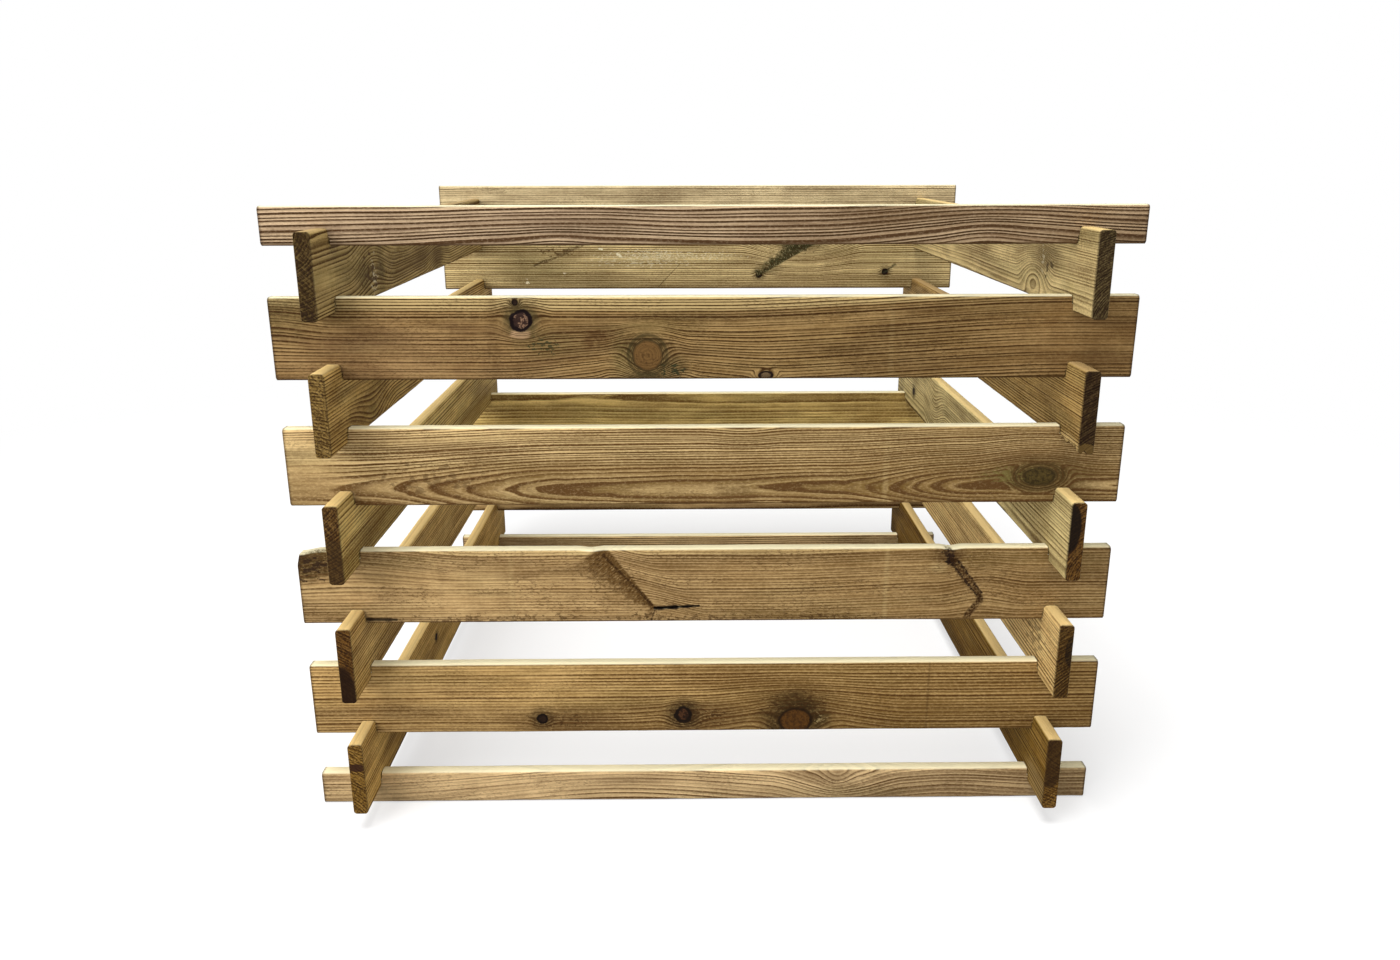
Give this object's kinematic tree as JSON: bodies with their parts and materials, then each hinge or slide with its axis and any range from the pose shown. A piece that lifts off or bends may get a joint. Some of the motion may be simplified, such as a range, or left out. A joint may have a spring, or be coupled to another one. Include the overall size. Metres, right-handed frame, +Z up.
{
  "type": "wooden compost bin",
  "caption": "Square slatted garden compost bin, open above and below, of softwood boards on edge that slot over each other at notched crossed corners.",
  "frame": {"origin": "on the ground below the middle of the bin, at the bottom centre of its box", "axes": "+Z up; -Y is the front, the side the picture was taken from; +X is to the right as seen from the front. Front and back boards lie along X, side boards along Y."},
  "size_m": [1, 1, 0.764],
  "materials": {
    "straw_pine": "planed, pressure treated, matt",
    "honey_pine": "planed, pressure treated, matt",
    "olive_pine": "planed, pressure treated, matt",
    "umber_pine": "planed, pressure treated, matt"
  },
  "bodies": {
    "ground_boards": {"front_board_1": "honey_pine", "back_board_1": "straw_pine"},
    "side_boards_1": {"left_board_1": "olive_pine", "right_board_1": "honey_pine"},
    "end_boards_2": {"front_board_2": "straw_pine", "back_board_2": "honey_pine"},
    "side_boards_2": {"left_board_2": "honey_pine", "right_board_2": "straw_pine"},
    "end_boards_3": {"front_board_3": "honey_pine", "back_board_3": "straw_pine"},
    "side_boards_3": {"left_board_3": "straw_pine", "right_board_3": "umber_pine"},
    "end_boards_4": {"front_board_4": "straw_pine", "back_board_4": "honey_pine"},
    "side_boards_4": {"left_board_4": "olive_pine", "right_board_4": "honey_pine"},
    "end_boards_5": {"front_board_5": "honey_pine", "back_board_5": "olive_pine"},
    "side_boards_5": {"left_board_5": "honey_pine", "right_board_5": "olive_pine"},
    "front_top_board": {"front_board_6": "umber_pine"},
    "back_top_board": {"back_board_6": "straw_pine"}
  },
  "joints": [
    {"name": "side_boards_1_lift", "type": "slide", "parent": "ground_boards", "child": "side_boards_1", "axis": [0, 0, 1], "range_m": [0, 0.1]},
    {"name": "end_boards_2_lift", "type": "slide", "parent": "side_boards_1", "child": "end_boards_2", "axis": [0, 0, 1], "range_m": [0, 0.1]},
    {"name": "side_boards_2_lift", "type": "slide", "parent": "end_boards_2", "child": "side_boards_2", "axis": [0, 0, 1], "range_m": [0, 0.1]},
    {"name": "end_boards_3_lift", "type": "slide", "parent": "side_boards_2", "child": "end_boards_3", "axis": [0, 0, 1], "range_m": [0, 0.1]},
    {"name": "side_boards_3_lift", "type": "slide", "parent": "end_boards_3", "child": "side_boards_3", "axis": [0, 0, 1], "range_m": [0, 0.1]},
    {"name": "end_boards_4_lift", "type": "slide", "parent": "side_boards_3", "child": "end_boards_4", "axis": [0, 0, 1], "range_m": [0, 0.1]},
    {"name": "side_boards_4_lift", "type": "slide", "parent": "end_boards_4", "child": "side_boards_4", "axis": [0, 0, 1], "range_m": [0, 0.1]},
    {"name": "end_boards_5_lift", "type": "slide", "parent": "side_boards_4", "child": "end_boards_5", "axis": [0, 0, 1], "range_m": [0, 0.1]},
    {"name": "side_boards_5_lift", "type": "slide", "parent": "end_boards_5", "child": "side_boards_5", "axis": [0, 0, 1], "range_m": [0, 0.1]},
    {"name": "front_top_board_lift", "type": "slide", "parent": "side_boards_5", "child": "front_top_board", "axis": [0, 0, 1], "range_m": [0, 0.1]},
    {"name": "back_top_board_lift", "type": "slide", "parent": "side_boards_5", "child": "back_top_board", "axis": [0, 0, 1], "range_m": [0, 0.1]}
  ]
}
